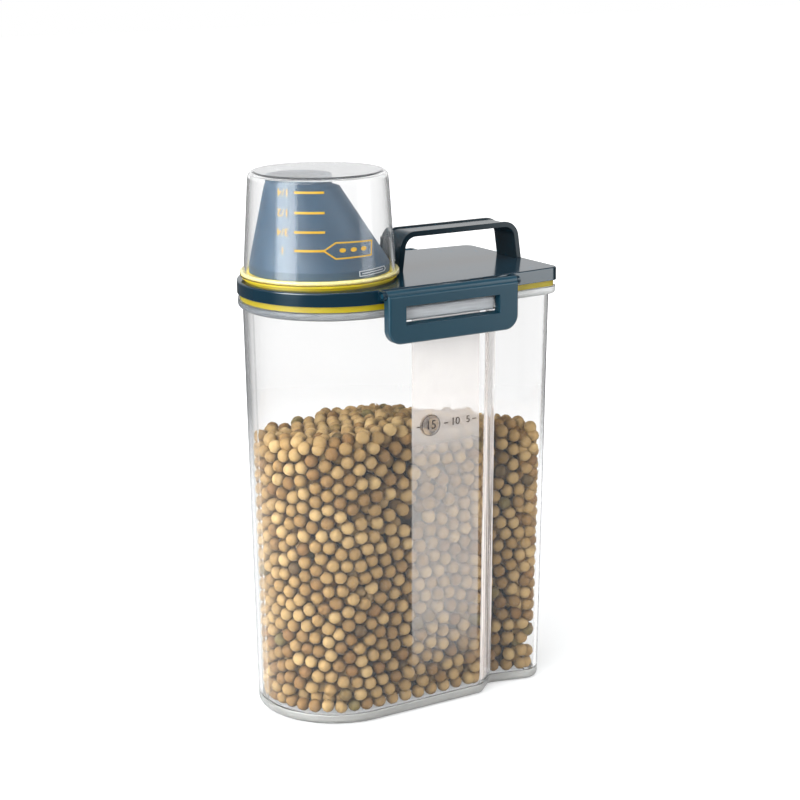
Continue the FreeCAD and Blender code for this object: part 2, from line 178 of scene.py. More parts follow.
def blend_colours(tree, factor, first, second, blend="MIX"):
    """A colour between two, by a factor."""
    return output_of(tree, "ShaderNodeMix", how={"data_type": "RGBA", "blend_type": blend},
                     Factor=factor, A=first, B=second)


def bump(tree, height, strength, distance, **under):
    """A normal from a height socket, on top of another Normal if there is one."""
    return output_of(tree, "ShaderNodeBump", Strength=strength, Distance=distance, Height=height, **under)


def mottled(name, scale, low, high, glossiest, roughest):
    """A material between two colours and two roughnesses, by one noise."""
    material, tree, shader = new_material(name)
    tone = object_noise(tree, scale)
    wire(shader, Base_Color=blend_colours(tree, tone, low, high),
         Roughness=map_to(tree, tone, glossiest, roughest))
    return material, tree, shader


def dress(node, material):
    """Give a CAD node's object one material."""
    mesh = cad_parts[node].data
    mesh.materials.clear()
    mesh.materials.append(material)


# %% [markdown]
# The coloured mouldings are a dark teal polypropylene. Such a surface is smooth but not polished:
# broad soft highlights, a slight cloudiness from the mould, and a very fine grain. Two noises do it,
# one large and faint for the colour and the gloss, one tiny for the bump. A Bevel node rounds the
# light on every sharp edge, as the real moulding's edge radii do, without any new faces.

# %% Teal plastic
EDGE_RADIUS = 0.35 * MM
# One teal plastic in lit and shaded copies: the handle's tones are darker as painted shade, the latches' and
# the spout's lighter as painted light.
TEALS_LIT_AND_SHADED = {
    # node: roughness, strength of reflections, deep tone, light tone
    "lid": (0.12, 0.5, srgb(10, 40, 54), srgb(14, 50, 67)),
    "pour_spout": (0.5, 0.5, srgb(14, 48, 70), srgb(20, 58, 82)),
    "carry_handle": (0.12, 0.25, srgb(7, 32, 42), srgb(10, 40, 52)),
    "front_latch": (0.32, 0.5, srgb(10, 59, 77), srgb(16, 71, 91)),
    "back_latch": (0.32, 0.5, srgb(10, 59, 77), srgb(16, 71, 91)),
}


def teal_plastic(name, roughness, shine, deep, light):
    """Satin moulded plastic in dark teal, with softened edges."""
    material, tree, shader = mottled(name, 18, deep, light, roughness - 0.03, roughness + 0.05)
    soften = output_of(tree, "ShaderNodeBevel", how={"samples": 6}, Radius=EDGE_RADIUS)
    wire(shader, IOR=1.5, Specular_IOR_Level=shine,
         Normal=bump(tree, object_noise(tree, 2600, 2.0), 0.06, 0.02 * MM, Normal=soften))
    return material


for node, look in TEALS_LIT_AND_SHADED.items():
    dress(node, teal_plastic("teal_" + node, *look))
print("teal on", len(TEALS_LIT_AND_SHADED), "nodes")

# %% [markdown]
# The seals are a bright yellow silicone: matt, a little translucent, and never quite even in tone.

# %% Seal material
# One yellow silicone in two tones: the cup seal's brighter ones are painted light, the gasket's darker ones
# painted shade.
SEALS_LIT_AND_SHADED = {
    "lid_gasket": (srgb(200, 174, 4), srgb(222, 199, 10)),
    "cup_seal_ring": (srgb(244, 212, 4), srgb(253, 226, 8)),
}


def silicone(name, deep, bright):
    """Soft yellow silicone."""
    material, tree, shader = mottled(name, 60, deep, bright, 0.42, 0.58)
    wire(shader, Subsurface_Weight=0.15, Subsurface_Scale=1 * MM,
         Normal=bump(tree, object_noise(tree, 1500), 0.1, 0.03 * MM))
    return material


for node, tones in SEALS_LIT_AND_SHADED.items():
    dress(node, silicone("silicone_" + node, *tones))

# %% [markdown]
# Clear plastic is a transmission shader on a wall with real thickness, so edges and the base
# darken and bend what is behind them as the real thing does. Painted shade, by Layer Weight a darker
# tint and a little matt grey, shows where the wall is seen edge on, which is how a clear tub shows at
# all on white. Rays that go to a lamp pass straight through instead, or the food inside would stand
# in the shade of a wall that hardly holds light back. Faint waves in the surface, as moulding leaves
# them, come from a low bump.

# %% Clear plastic
LAMP_TINT = (0.95, 0.95, 0.95, 1)
EDGE_PAINTED_SHADE = (0.17, 0.18, 0.20, 1)
EDGE_POWER = 4.5
CLEARS = {
    # node: material, index of refraction, tint, darker tint at its edges as painted shade, clearness, share
    # of painted grey shade at its edges
    "container_body": ("clear_body", 1.3, 0.99, 0.94, 0.99, 0.62),
    "measuring_cup": ("clear_cup", 1.25, 0.985, 0.95, 0.985, 0.36),
}


def ray(tree, kind):
    """One of the outputs of Light Path."""
    return tree.nodes.new("ShaderNodeLightPath").outputs[kind]


def mix_shaders(tree, factor, first, second):
    """A shader between two, shown on the surface."""
    mix = output_of(tree, "ShaderNodeMixShader", factor, first, second)
    wire(tree.nodes["Material Output"], Surface=mix)
    return mix


def clear_plastic(name, bend, tint, edge, clearness, shade):
    """Clear moulded plastic with painted shade at its edges: a darker tint and a matt grey."""
    material, tree, shader = new_material(name)
    facing = add_node(tree, "ShaderNodeLayerWeight", Blend=0.5).outputs["Facing"]
    slant = combine(tree, "POWER", facing, 2)
    wire(shader, Transmission_Weight=clearness, IOR=bend, Roughness=0.02,
         Base_Color=blend_colours(tree, slant, (tint, tint, tint, 1), (edge, edge, edge, 1)),
         Normal=bump(tree, object_noise(tree, 45, 1.0), 0.05, 0.4 * MM))
    # Painted shade: a matt grey mixed in where the wall is seen edge on.
    grey = output_of(tree, "ShaderNodeBsdfDiffuse", Color=EDGE_PAINTED_SHADE)
    rim = product(tree, combine(tree, "POWER", facing, EDGE_POWER), shade)
    solid = mix_shaders(tree, rim, shader.outputs["BSDF"], grey)
    open_way = output_of(tree, "ShaderNodeBsdfTransparent", Color=LAMP_TINT)
    mix_shaders(tree, ray(tree, "Is Shadow Ray"), solid, open_way)
    return material


for node, look in CLEARS.items():
    dress(node, clear_plastic(*look))

# %% [markdown]
# Marks are thin raised shapes that follow a wall. Each is drawn flat first, in millimetres, and then
# every point is carried to the wall by a small function: one wraps it round the cup's cone, another
# leans it against the body's drafted front. Drawing flat and bending later keeps each shape simple.

# %% Flat shapes
MARK_STEP = 1.0


def flat_mesh(top, faces, height):
    """A closed flat solid from its top points and faces; its base is at height 0."""
    count = len(top)
    points = [(u, v, height) for u, v in top] + [(u, v, 0.0) for u, v in top]
    edges = {edge for face in faces for edge in zip(face, face[1:] + face[:1])}
    sides = [(b, a, a + count, b + count) for a, b in sorted(edges) if (b, a) not in edges]
    base = [tuple(i + count for i in reversed(face)) for face in faces]
    return points, list(faces) + base + sides


def strip(path, width, height, closed=False):
    """A flat ribbon of even width along a path of points."""
    fine = []
    for (u0, v0), (u1, v1) in zip(path, path[1:] + path[:1] if closed else path[1:]):
        steps = max(1, int(math.hypot(u1 - u0, v1 - v0) / MARK_STEP))
        fine += [(u0 + (u1 - u0) * k / steps, v0 + (v1 - v0) * k / steps) for k in range(steps)]
    if not closed:
        fine.append(path[-1])
    fine = np.array(fine)
    ahead, back = np.roll(fine, -1, axis=0) - fine, fine - np.roll(fine, 1, axis=0)
    if not closed:
        ahead[-1], back[0] = back[-1], ahead[0]
    way = ahead / np.linalg.norm(ahead, axis=1)[:, None] + back / np.linalg.norm(back, axis=1)[:, None]
    side = np.column_stack((-way[:, 1], way[:, 0]))
    side *= width / np.maximum((side ** 2).sum(axis=1), 1.2)[:, None]
    top = [tuple(p) for pair in zip(fine + side, fine - side) for p in pair]
    count, last = len(top), len(fine) if closed else len(fine) - 1
    faces = [(2 * i, 2 * i + 1, (2 * i + 3) % count, (2 * i + 2) % count) for i in range(last)]
    return flat_mesh(top, faces, height)


def sheet(us, vs, height):
    """A flat sheet with a point for every pair of places."""
    row = len(us)
    starts = [j * row + i for j in range(len(vs) - 1) for i in range(row - 1)]
    cells = [(a, a + 1, a + row + 1, a + row) for a in starts]
    return flat_mesh([(u, v) for v in vs for u in us], cells, height)


def oval(u, v, wide, tall, height, sides=20):
    """A flat oval."""
    turns = [2 * math.pi * i / sides for i in range(sides)]
    points = [(u + wide * math.cos(t), v + tall * math.sin(t)) for t in turns]
    return flat_mesh(points, [tuple(range(sides))], height)


def numerals(text, size, u, v, height, turned=False):
    """Plain numerals centred on a point, upside down if turned."""
    curve = bpy.data.curves.new("numerals", "FONT")
    curve.body = text
    curve.size = size
    curve.align_x, curve.align_y = "CENTER", "CENTER"
    curve.extrude = height / 2
    carrier = bpy.data.objects.new("numerals", curve)
    mesh = bpy.data.meshes.new_from_object(carrier)
    sign = -1 if turned else 1
    points = [(u + sign * p.co.x, v + sign * p.co.y, p.co.z + height / 2) for p in mesh.vertices]
    faces = [tuple(f.vertices) for f in mesh.polygons]
    bpy.data.objects.remove(carrier)
    bpy.data.meshes.remove(mesh)
    return points, faces


def piece_from(name, shapes, carry, body, material):
    """One mesh piece from flat shapes, each point carried to its place, riding on a body."""
    points, faces = [], []
    for shape_points, shape_faces in shapes:
        first = len(points)
        points += [tuple(c * MM for c in carry(*p)) for p in shape_points]
        faces += [tuple(i + first for i in face) for face in shape_faces]
    mesh = bpy.data.meshes.new(name)
    mesh.from_pydata(points, [], faces)
    mesh.materials.append(material)
    piece = new_object(name, mesh)
    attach(piece, body)
    print(name, len(faces), "faces")
    return piece


# %% [markdown]
# The measuring cup carries its printed scale: four lines with plain fractions beside them, which read
# the right way up once the cup is turned over, and a pointed frame with three dots. The print is a
# film of ink a few hundredths of a millimetre thick. Angles are round the cup's axis, from +X.

# %% Cup print
CUP_X = -39.2
CUP_SEAT = 232.2
CUP_RADIUS = 39.0
CUP_SLOPE = 3.5 / 52.8
INK_HEIGHT = 0.06
LINE_LEFT = -137.9
LINE_RIGHT = -114.3
LINE_WIDTH = 1.15
FIGURE_ANGLE = -147.5
FIGURE_SIZE = 5.4
FRACTIONS = {"1/4": 278.1, "1/2": 268.2, "3/4": 258.7, "1": 249.6}
POINTER = ((-115.6, 249.6), (-106.7, 245.5), (-76.6, 245.8), (-75.1, 252.9), (-106.3, 253.4))
POINTER_WIDTH = 0.75
DOT_ANGLES = (-101.2, -92.2, -83.4)
DOT_Z = 249.5
DOT_HALF = (1.7, 1.1)


def radius_at(z):
    """The cup's outer radius at a height."""
    return CUP_RADIUS - CUP_SLOPE * (z - CUP_SEAT)


def on_cup(u, z, lift):
    """A point on the cup's outside, u millimetres round from the print's left end."""
    radius = radius_at(z)
    turn = math.radians(LINE_LEFT) + u / radius
    return CUP_X + (radius + lift) * math.cos(turn), (radius + lift) * math.sin(turn), z


def round_cup(angle, z):
    """How far a point at an angle lies round the cup from the print's left end, and its height."""
    return math.radians(angle - LINE_LEFT) * radius_at(z), z


shapes = [strip([round_cup(LINE_LEFT, z), round_cup(LINE_RIGHT, z)], LINE_WIDTH, INK_HEIGHT)
          for z in FRACTIONS.values()]
shapes += [numerals(text, FIGURE_SIZE, *round_cup(FIGURE_ANGLE, z), INK_HEIGHT, turned=True)
           for text, z in FRACTIONS.items()]
shapes += [strip([round_cup(*place) for place in POINTER], POINTER_WIDTH, INK_HEIGHT, closed=True)]
shapes += [oval(*round_cup(angle, DOT_Z), *DOT_HALF, INK_HEIGHT) for angle in DOT_ANGLES]
INK = mottled("yellow_ink", 300, srgb(224, 168, 28), srgb(246, 196, 50), 0.3, 0.5)[0]
piece_from("cup_print", shapes, on_cup, "cup", INK)

# %% [markdown]
# Low on its side the cup has a plain raised bar, and a ladder of fine raised ticks runs up its right
# flank. The ticks repeat along a line, which is what Geometry Nodes are for: a line of points, a small
# block on each, every fifth one longer. The tree is built here, its sizes are named inputs, and the
# result is turned into a plain mesh.

# %% Cup relief
TICK_ANGLE = -33.7
TICK_LOW = 238.5
TICK_HIGH = 280.0
TICK_COUNT = 34
TICK_SIZE = (0.4, 1.5, 0.4)
TICK_SINK = 0.05
TICK_GROUP = 5
TICK_LONGER = 1.9
BAR = ((-88.2, 235.9), (-62.6, 236.5), (-60.9, 237.7), (-62.6, 238.9), (-88.2, 238.3))
BAR_MIDDLE = ((-85.8, 237.15), (-64.5, 237.65))
BAR_RISE = 0.3
BAR_EDGE_WIDTH = 0.35
BAR_MIDDLE_WIDTH = 0.4


def node_tree(name, inputs):
    """A Geometry Nodes tree with named inputs: the tree, its input sockets and its output node."""
    tree = bpy.data.node_groups.new(name, "GeometryNodeTree")
    for label, kind in {"Geometry": "Geometry", **inputs}.items():
        tree.interface.new_socket(label, in_out="INPUT", socket_type="NodeSocket" + kind)
    tree.interface.new_socket("Geometry", in_out="OUTPUT", socket_type="NodeSocketGeometry")
    return tree, tree.nodes.new("NodeGroupInput").outputs, tree.nodes.new("NodeGroupOutput")


def on_points(tree, given, **what):
    """Instances of one thing on every point of the mesh that the tree is given."""
    points = output_of(tree, "GeometryNodeMeshToPoints", Mesh=given["Geometry"])
    return output_of(tree, "GeometryNodeInstanceOnPoints", Points=points, **what)


def finish_tree(tree, given, out, instances):
    """End a tree in Realize Instances and Set Material."""
    real = output_of(tree, "GeometryNodeRealizeInstances", Geometry=instances)
    wire(out, Geometry=output_of(tree, "GeometryNodeSetMaterial", Geometry=real, Material=given["Material"]))


def grown(name, points, tree, **values):
    """A plain mesh object from bare points in millimetres, a node tree and its inputs."""
    mesh = bpy.data.meshes.new(name + "_points")
    mesh.from_pydata([tuple(c * MM for c in point) for point in points], [], [])
    carrier = new_object(name + "_carrier", mesh)
    modifier = carrier.modifiers.new("nodes", "NODES")
    modifier.node_group = tree
    for item in tree.interface.items_tree:
        if item.in_out == "INPUT" and item.name in values:
            modifier[item.identifier] = values[item.name]
    bpy.context.view_layer.update()
    ready = carrier.evaluated_get(bpy.context.evaluated_depsgraph_get())
    made = bpy.data.meshes.new_from_object(ready)
    bpy.data.objects.remove(carrier)
    print(name, len(made.polygons), "faces")
    return new_object(name, made)


def tick_tree():
    """Small blocks on every point of a line, every fifth one longer."""
    inputs = {"Size": "Vector", "Turn": "Vector", "Material": "Material"}
    tree, given, out = node_tree("ticks_on_line", inputs)
    block = output_of(tree, "GeometryNodeMeshCube", Size=given["Size"])
    group = combine(tree, "MODULO", output_of(tree, "GeometryNodeInputIndex"), TICK_GROUP)
    scale = output_of(tree, "ShaderNodeCombineXYZ", X=1.0, Y=map_to(tree, group, TICK_LONGER, 1.0), Z=1.0)
    finish_tree(tree, given, out, on_points(tree, given, Instance=block, Rotation=given["Turn"], Scale=scale))
    return tree


RELIEF = mottled("pale_relief", 500, srgb(196, 198, 202), srgb(226, 228, 232), 0.2, 0.4)[0]
TICK_GREY = mottled("pale_ticks", 500, srgb(160, 161, 164), srgb(188, 189, 192), 0.2, 0.4)[0]
heights = np.linspace(TICK_LOW, TICK_HIGH, TICK_COUNT)
ladder = [on_cup(*round_cup(TICK_ANGLE, z), TICK_SINK) for z in heights]
lean = (0, -math.atan(CUP_SLOPE), math.radians(TICK_ANGLE))
ticks = grown("cup_ticks", ladder, tick_tree(),
              Size=[c * MM for c in TICK_SIZE], Turn=lean, Material=TICK_GREY)
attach(ticks, "cup")
bar = [strip([round_cup(*place) for place in BAR], BAR_EDGE_WIDTH, BAR_RISE, closed=True)]
bar += [strip([round_cup(*place) for place in BAR_MIDDLE], BAR_MIDDLE_WIDTH, BAR_RISE)]
piece_from("cup_raised_bar", bar, on_cup, "cup", RELIEF)

# %% [markdown]
# The body's front has a frosted panel with a raised scale. On the real moulding the panel is only a
# rough patch of the wall. Here it is a sheet a tenth of a millimetre thick just inside the wall, with
# a mask in its Alpha: a sharp left edge, a lower end that fades out, and a clear round spot behind
# the largest number. As a piece of its own it keeps the polished wall in front of it.

# %% Frosted panel
BODY_HEIGHT = 219.7
BASE_HALF = 42.5
DRAFT = 2.85
WALL = 1.8
PANEL_X = (-11.2, 30.0)
PANEL_Z = (14.0, 212.0)
PANEL_FULL_Z = 62
SPOT_CENTRE = (-0.5, 0.0, 155.6)
SPOT_RADIUS = 5.4
SPOT_SOFTNESS = 0.5
THIN_AT = (136, 152)
FROST_DEPTH = 0.15
FILM = 0.1


def on_front(x, z, lift):
    """A point on the body's front wall, in millimetres."""
    return x, -BASE_HALF - DRAFT * z / BODY_HEIGHT - lift, z


def inside_front(x, z, lift):
    """A point just inside the front wall."""
    return on_front(x, z, lift - WALL - FROST_DEPTH)


def frost():
    """A milky film, masked by place: thicker above THIN_AT, where nothing stands behind it."""
    material, tree, shader = new_material("frosted_panel")
    axes = object_axes(tree)
    mask = map_to(tree, axes["Z"], 0.0, 1.0, PANEL_Z[0] * MM, PANEL_FULL_Z * MM, smooth=True)
    place = output_of(tree, "ShaderNodeCombineXYZ", X=axes["X"], Z=axes["Z"])
    centre = [c * MM for c in SPOT_CENTRE]
    away = output_of(tree, "ShaderNodeVectorMath", place, centre, how={"operation": "DISTANCE"})
    spot = map_to(tree, away, 0.35, 1.0, SPOT_RADIUS * MM, (SPOT_RADIUS + SPOT_SOFTNESS) * MM)
    cloud = map_to(tree, object_noise(tree, 90), 0.85, 1.15)
    dense = map_to(tree, axes["Z"], 0.17, 0.34, THIN_AT[0] * MM, THIN_AT[1] * MM, smooth=True)
    wire(shader, Base_Color=srgb(250, 241, 235), Alpha=product(tree, mask, spot, cloud, dense),
         Roughness=map_to(tree, cloud, 0.55, 0.7, 0.85, 1.15))
    return material


film = sheet(np.linspace(*PANEL_X, 10), np.linspace(*PANEL_Z, 25), FILM)
panel = piece_from("frosted_panel", [film], inside_front, "container", frost())

# %% [markdown]
# The scale's numbers and dashes stand proud of the wall by a quarter of a millimetre. Raised clear
# plastic shows as a slightly darker, greyer shape; here that is painted shade, a dark tint of its own.

# %% Raised scale
SCALE_RISE = 0.25
DASH_HALF = 1.1
DASH_WIDTH = 0.6
DASHES = (-8.0, 8.6, 26.0)
RING_WIDTH, RING_RISE = 0.35, 0.2
# Each number with its size and its place along X.
NUMBERS = (("15", 6.6, -0.5), ("10", 5.6, 14.4), ("5", 5.2, 22.2))
# A dark tint that is painted shade, for how raised clear plastic shows.
SCALE_PAINTED_SHADE = mottled("scale_painted_shade", 400, srgb(66, 56, 52), srgb(98, 86, 80), 0.2, 0.35)[0]
middle, _, level = SPOT_CENTRE
dashes = [strip([(x - DASH_HALF, level), (x + DASH_HALF, level)], DASH_WIDTH, SCALE_RISE)
          for x in DASHES]
numbers = [numerals(text, size, x, level, SCALE_RISE) for text, size, x in NUMBERS]
turns = np.linspace(0, 2 * math.pi, 48, endpoint=False)
ring = [(middle + SPOT_RADIUS * math.cos(t), level + SPOT_RADIUS * math.sin(t)) for t in turns]
spot_ring = strip(ring, RING_WIDTH, RING_RISE, closed=True)
piece_from("wall_scale", dashes + numbers + [spot_ring], on_front, "container", SCALE_PAINTED_SHADE)

# %% [markdown]
# Through each latch's window shows the bar that the latch closes over. It is solid clear plastic, and
# a thick clear bar looks milky, because light rattles round in it. A pale core inside the bar stands
# for that: a rounded rod along X, a superellipse in section, closed at both ends. The cup's rim has a
# core too, in a cream colour that is painted light from the yellow ring below, which shines into it.

# %% Catch cores
CORE_X = (-19.8, 33.8)
CORE_CENTRE = (49.4, 217.1)
CORE_HALF = (2.3, 3.1)
CORE_POWER = 0.45
CORE_TAPER = (0.8, 0.72)
SECTIONS = 24
# The cup's rim core: radius round the cup, height, half width, half height.
RIM_CORE = (39.4, 233.4, 1.0, 0.85)
RIM_STEPS = 96


def as_drawn(x, y, z):
    """A point left where it is."""
    return x, y, z


def ring_faces(rings, count, closed=False):
    """The quads between rings of points; a closed tube is wound the other way."""
    faces = []
    for i in range(rings if closed else rings - 1):
        here, there = i * count, (i + 1) % rings * count
        around = [(k, (k + 1) % count) for k in range(count)]
        faces += [(here + k, here + m, there + m, there + k) for k, m in around]
    return [(a, d, c, b) for a, b, c, d in faces] if closed else faces


def milky():
    """Pale cloudy plastic with faint streaks along its length."""
    material, tree, shader = new_material("milky_core")
    streak = object_noise(tree, 700, 4.0, stretch=(14, 1, 1))
    wire(shader, Base_Color=blend_colours(tree, streak, srgb(150, 151, 154), srgb(222, 223, 225)),
         Roughness=map_to(tree, streak, 0.25, 0.5), Normal=bump(tree, streak, 0.3, 0.2 * MM))
    return material


def core_rod(side):
    """A rod along the bar at the front (side -1) or the back (side 1)."""
    points = []
    (left, right), (taper, small) = CORE_X, CORE_TAPER
    for x, size in ((left, small), (left + taper, 1.0), (right - taper, 1.0), (right, small)):
        for k in range(SECTIONS):
            turn = side * 2 * math.pi * k / SECTIONS
            across, up = [math.copysign(abs(c) ** CORE_POWER, c) * size * half
                          for c, half in zip((math.cos(turn), math.sin(turn)), CORE_HALF)]
            points.append((x, side * CORE_CENTRE[0] + across, CORE_CENTRE[1] + up))
    faces = ring_faces(4, SECTIONS)
    faces += [tuple(reversed(range(SECTIONS))), tuple(range(3 * SECTIONS, 4 * SECTIONS))]
    return points, [tuple(reversed(f)) for f in faces] if side > 0 else faces


def rim_core():
    """A rod bent round inside the cup's rim."""
    around, middle, half_width, half_height = RIM_CORE
    points = []
    for turn in [2 * math.pi * i / RIM_STEPS for i in range(RIM_STEPS)]:
        for angle in [2 * math.pi * k / 8 for k in range(8)]:
            radius = around + half_width * math.cos(angle)
            points.append((CUP_X + radius * math.cos(turn), radius * math.sin(turn),
                           middle + half_height * math.sin(angle)))
    return points, ring_faces(RIM_STEPS, 8, closed=True)


# The cream is painted light: yellow from the ring below, cast into the rim.
CREAM_PAINTED_LIGHT = mottled("cream_core", 500, srgb(210, 194, 118), srgb(230, 216, 150), 0.2, 0.4)[0]
rim = piece_from("cup_rim_core", [rim_core()], as_drawn, "cup", CREAM_PAINTED_LIGHT)
MILKY = milky()
for name, side in (("front_catch_core", -1), ("back_catch_core", 1)):
    core = piece_from(name, [core_rod(side)], as_drawn, "container", MILKY)

# %% [markdown]
# Several pieces follow the body's plan: an outline of rounded corners that widens with the height, a
# round lobe at the left and a square end at the right with the grip's waist between. One function
# gives evenly spaced points along it at any height, with the direction that faces out.

# %% The body's plan
FLOOR_TOP = 4.2
PLAN_STEP = 1.0
LOBE_X = -33.0
# The corners of the plan's front half at the base and at the top: x, y and radius.
BASE_PLAN = ((LOBE_X - BASE_HALF, 42.5, 42.5), (33, 42.5, 4), (43.5, 33.2, 5), (75.5, 41.7, 9))
TOP_PLAN = ((LOBE_X - BASE_HALF - DRAFT, 45.35, 45.35), (34.1, 45.35, 6.85),
            (44.7, 35.95, 2.15), (78.85, 42.6, 7.5))


def plan_at(z):
    """The corners of the body's outer plan at a height, as x, y and radius, front side first."""
    share = z / BODY_HEIGHT
    half = [tuple(a + (b - a) * share for a, b in zip(low, high)) for low, high in zip(BASE_PLAN, TOP_PLAN)]
    return [(x, -y, r) for x, y, r in half] + list(reversed(half))


def plan_path(corners):
    """Evenly spaced points along a plan of rounded corners, the outward normals, and its length."""
    count = len(corners)
    places, normals = [], []
    for i, (x, y, r) in enumerate(corners):
        here = np.array((x, y))
        before = here - corners[i - 1][:2]
        after = corners[(i + 1) % count][:2] - here
        before, after = before / np.linalg.norm(before), after / np.linalg.norm(after)
        turn = math.atan2(before[0] * after[1] - before[1] * after[0], before @ after)
        start = here - before * r * math.tan(abs(turn) / 2)
        centre = start + np.array((-before[1], before[0])) * math.copysign(r, turn)
        for share in np.linspace(0, 1, max(3, int(r * abs(turn) / PLAN_STEP) + 2)):
            angle = turn * share
            spin = np.array(((math.cos(angle), -math.sin(angle)), (math.sin(angle), math.cos(angle))))
            places.append(centre + spin @ (start - centre))
            heading = spin @ before
            normals.append((heading[1], -heading[0]))
    places, normals = np.array(places + places[:1]), np.array(normals + normals[:1])
    way = np.concatenate(([0], np.cumsum(np.linalg.norm(np.diff(places, axis=0), axis=1))))
    even = np.arange(0, way[-1], PLAN_STEP)
    spots = np.column_stack([np.interp(even, way, places[:, k]) for k in (0, 1)])
    facing = np.column_stack([np.interp(even, way, normals[:, k]) for k in (0, 1)])
    return spots, facing / np.linalg.norm(facing, axis=1)[:, None], way[-1]


LEVEL_STEP = 20
TOP_LEVEL = 180
# Which of the plans lies half way up the food.
MIDDLE = 4
PLANS = [plan_path(plan_at(z)) for z in range(0, TOP_LEVEL + 1, LEVEL_STEP)]
print("plan is", round(PLANS[0][2]), "mm round at the base and", round(PLANS[-1][2]), "mm at the top")

# %% [markdown]
# Thick clear plastic looks milky, so the base and the rolled rim have pale cores inside them, like the
# bar in the latch's window. Each is a small closed profile carried round a plan: one along the body's
# foot, one along the rim. Their tone runs from darker at the left end to lighter at the right end:
# painted light and shade, as the light falls.

# %% Base and rim cores
LID_FRONT = [(-81, -48, 48), (22, -48, 600), (81, -43, 5.5)]
LID_CORNERS = LID_FRONT + [(x, -y, r) for x, y, r in reversed(LID_FRONT)]
# Each point of a profile is how far in from the plan it lies, and its height.
BASE_PROFILE = ((1.1, 5.4), (0.6, 4.6), (0.6, 3.0), (0.78, 2.08), (1.3, 1.3), (2.08, 0.78), (3.0, 0.6),
                (3.8, 0.6), (3.8, 3.7), (2.4, 3.9), (1.7, 5.2))
RIM_PROFILE = ((1.4, 219.2), (1.0, 218.8), (1.0, 217.4), (1.4, 216.4), (2.5, 215.9), (3.3, 215.9),
               (3.3, 219.2))
CORE_CLOUD = 0.15


def cloudy_with_painted_light(name, left, right):
    """Milky plastic whose tone runs from one end of the object to the other, as painted light and shade."""
    material, tree, shader = new_material(name)
    cloud = map_to(tree, object_noise(tree, 160), -CORE_CLOUD, CORE_CLOUD)
    # The run along X is painted light and shade: darker at the left end, lighter at the right.
    painted_light_run = map_to(tree, object_axes(tree)["X"], 0.0, 1.0, -80 * MM, 80 * MM)
    wire(shader, Base_Color=blend_colours(tree, combine(tree, "ADD", painted_light_run, cloud), left, right),
         Roughness=map_to(tree, cloud, 0.35, 0.55, -CORE_CLOUD, CORE_CLOUD))
    return material


def plan_ring(corners, profile):
    """A closed tube round a plan, from a profile of insets and heights."""
    places, normals, _ = plan_path(corners)
    points = [(x - u * inset, y - v * inset, z)
              for inset, z in profile for (x, y), (u, v) in zip(places, normals)]
    return points, ring_faces(len(profile), len(places), closed=True)


for name, corners, profile, tones in (
    ("base_core", plan_at(0), BASE_PROFILE, (srgb(156, 154, 150), srgb(186, 184, 180))),
    ("rim_core", LID_CORNERS, RIM_PROFILE, (srgb(108, 111, 115), srgb(222, 221, 219))),
):
    ring = piece_from(name, [plan_ring(corners, profile)], as_drawn, "container", cloudy_with_painted_light(name, *tones))

# %% [markdown]
# Where the body steps in to its grip, the thick curved corner scatters light in upright streaks. A
# second milky sheet lies in the middle of that corner's wall. It follows the same plan.

# %% Waist haze
WAIST_X = (30.5, 44.5)
WAIST_Z = (8.0, 205.0)
WAIST_INSET = 0.9


def streaks_with_painted_glow():
    """A milky film in upright streaks, thinner above the food, with a faint painted glow."""
    material, tree, shader = new_material("waist_haze")
    noise = object_noise(tree, 420, 3.0, stretch=(1, 1, 30))
    streak = map_to(tree, noise, 0.2, 0.8, 0.35, 0.62, smooth=True)
    ends = map_to(tree, object_axes(tree)["Z"], 0.5, 1.0, 168 * MM, 150 * MM, smooth=True)
    # The emission is painted light: the film glows a little though it is no lamp.
    wire(shader, Base_Color=srgb(246, 238, 233), Alpha=product(tree, streak, ends),
         Roughness=map_to(tree, streak, 0.45, 0.6, 0.2, 0.8),
         Emission_Color=srgb(255, 246, 240), Emission_Strength=0.2)
    return material


def waist_points():
    """The plan's points in the waist, on two levels, with their normals."""
    low, high = PLANS[0], PLANS[-1]
    count = len(low[0])
    picks = (np.arange(count) * len(high[0]) / count).astype(int)
    inside = (low[0][:, 0] > WAIST_X[0]) & (low[0][:, 0] < WAIST_X[1]) & (low[0][:, 1] < 0)
    return low[0][inside], high[0][picks][inside], low[1][inside]


WAIST_LOW, WAIST_HIGH, WAIST_NORMAL = waist_points()


def on_waist(u, z, lift):
    """A point in the middle of the waist's wall, from a place along it and a height."""
    share = z / TOP_LEVEL
    x, y = WAIST_LOW[u] + (WAIST_HIGH[u] - WAIST_LOW[u]) * share
    inward = WAIST_NORMAL[u] * (WAIST_INSET - lift)
    return x - inward[0], y - inward[1], z


film = sheet(range(len(WAIST_LOW)), np.linspace(*WAIST_Z, 9), FILM)
haze = piece_from("waist_haze", [film], on_waist, "container", streaks_with_painted_glow())

# %% [markdown]
# The food is about 2,500 round grains. Filling the whole body would waste most of them, so they are
# packed in sheets: one against the wall, one behind it, two on top and one on the floor.
# Each sheet starts as random points that push each other apart until none is too close, which looks
# like poured grains and not like a grid. To do that along the wall, the wall is unrolled: a point's
# place is a distance along the plan and a height. A close row of grains stands on the floor first.

# %% Packing the grains
GRAIN_RADIUS = 3.75
SHEET_COVER = 0.86
WALL_COVER = 0.89
RELAX_STEPS = 60
RELAX_PUSH = 0.35
HEAP_PLAN_Z = 150
FOOD_LEVEL = 149.5
HUMP_X, HUMP_WIDTH, HUMP_RISE = -8, 38, 5.0
ROUND_END_RISE = 3.0
SQUARE_END_FALL = 5
BACKWARD_SLOPE = 0.11
chance = np.random.default_rng(7)


